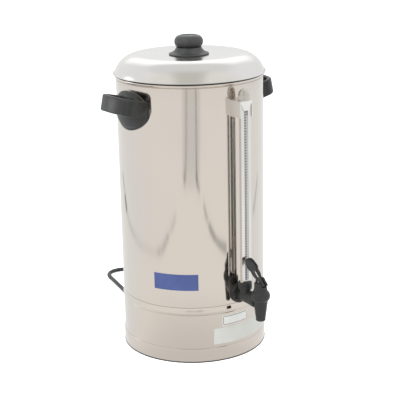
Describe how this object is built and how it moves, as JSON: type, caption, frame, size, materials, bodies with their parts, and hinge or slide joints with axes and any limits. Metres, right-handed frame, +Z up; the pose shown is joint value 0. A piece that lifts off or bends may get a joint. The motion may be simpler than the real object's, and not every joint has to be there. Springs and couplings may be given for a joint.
{
  "type": "coffee urn",
  "caption": "tall cylindrical percolating coffee urn with a domed lid and knob, side handles, a sight gauge above a lever tap, a lift-out coffee basket on a pump tube, and a coiled mains lead",
  "frame": {"origin": "on the urn's vertical axis, in the plane that its foot stands on", "axes": "+Z up; the tap and sight gauge face -Y; the handles stand out along X; the mains lead leaves at +Y"},
  "size_m": [0.3337, 0.5031, 0.4772],
  "materials": {
    "polished_steel": "mirror-polished stainless sheet, faintly grained",
    "plated_steel": "zinc-plated, slightly dull",
    "black_plastic": "satin moulded phenolic with a fine texture",
    "clear_tube": "clear, smooth",
    "bright_steel": "bright plated",
    "black_rubber": "dull",
    "grey_silicone": "dull translucent grey",
    "heater_casting": "as cast",
    "heater_sheath": "heat-darkened",
    "stat_body": "tan phenolic disc body",
    "block_plastic": "ivory moulding",
    "brass_screw": "bright",
    "wire_sleeve": "smooth red insulation",
    "lead_sheath": "smooth satin sheath",
    "plug_plastic": "satin moulding",
    "pin_brass": "plated, bright"
  },
  "bodies": {
    "urn": {"tank": "polished_steel", "base_skirt": "polished_steel", "base_plate": "plated_steel", "rubber_foot": "black_rubber", "tank_studs": "plated_steel", "base_nuts": "plated_steel", "pump_heater": "heater_casting", "keep_warm_heater": "heater_sheath", "heater_clamp": "plated_steel", "clamp_nuts": "plated_steel", "thermostat": "stat_body", "thermal_cutout": "stat_body", "terminal_block": "block_plastic", "terminal_screws": "brass_screw", "inner_wiring": "wire_sleeve", "handle_left": "black_plastic", "handle_right": "black_plastic", "handle_screws": "bright_steel", "handle_washers": "grey_silicone", "gauge_bracket": "polished_steel", "bracket_screw": "bright_steel", "bracket_nut": "bright_steel", "gauge_guard": "polished_steel", "gauge_tube": "clear_tube", "gauge_cap": "bright_steel", "gauge_grommet": "black_rubber", "gauge_seal": "black_rubber", "gauge_nut": "black_plastic", "tap_shank": "black_plastic", "shank_seal_outer": "black_rubber", "shank_seal_inner": "grey_silicone", "shank_nut": "plated_steel", "tap_body": "black_plastic", "tap_bonnet": "black_plastic", "valve_spring": "bright_steel", "cord_gland": "black_rubber", "cord_lead": "lead_sheath", "cord_coil": "lead_sheath", "cord_tail": "lead_sheath", "cord_tie": "black_plastic", "plug_body": "plug_plastic", "plug_pins": "pin_brass"},
    "lid_set": {"lid": "polished_steel", "lid_knob": "black_plastic", "knob_screw": "bright_steel", "knob_washer": "grey_silicone"},
    "pump": {"pump_tube": "polished_steel"},
    "basket": {"coffee_basket": "polished_steel"},
    "spreader": {"basket_cover": "polished_steel"},
    "stem": {"valve_stem": "bright_steel", "seat_cup": "grey_silicone"},
    "lever": {"tap_lever": "black_plastic", "lever_pin": "bright_steel"}
  },
  "joints": [
    {"name": "lid_lift", "type": "slide", "parent": "urn", "child": "lid_set", "axis": [0, 0, 1], "range_m": [0, 0.6]},
    {"name": "pump_tube_lift", "type": "slide", "parent": "urn", "child": "pump", "axis": [0, 0, 1], "range_m": [0, 0.3601]},
    {"name": "basket_lift", "type": "slide", "parent": "pump", "child": "basket", "axis": [0, 0, 1], "range_m": [0, 0.1201]},
    {"name": "spreader_lift", "type": "slide", "parent": "basket", "child": "spreader", "axis": [0, 0, 1], "range_m": [0, 0.0601]},
    {"name": "stem_lift", "type": "slide", "parent": "urn", "child": "stem", "axis": [0, 0, 1], "range_m": [0, 0.00401], "deforming": ["valve_spring"]},
    {"name": "lever_turn", "type": "hinge", "parent": "stem", "child": "lever", "pos_m": [0, -0.161, 0.135], "axis": [1, 0, 0], "range_deg": [0, 50], "stiffness_Nm_per_rad": 0.05, "springref_deg": -34.38}
  ],
  "couplings": [
    {"joint": "pump_tube_lift", "follows": "lid_lift", "ratio": 0.6},
    {"joint": "basket_lift", "follows": "lid_lift", "ratio": 0.2},
    {"joint": "spreader_lift", "follows": "lid_lift", "ratio": 0.1},
    {"joint": "stem_lift", "follows": "lever_turn", "m_per_rad": 0.004584}
  ]
}
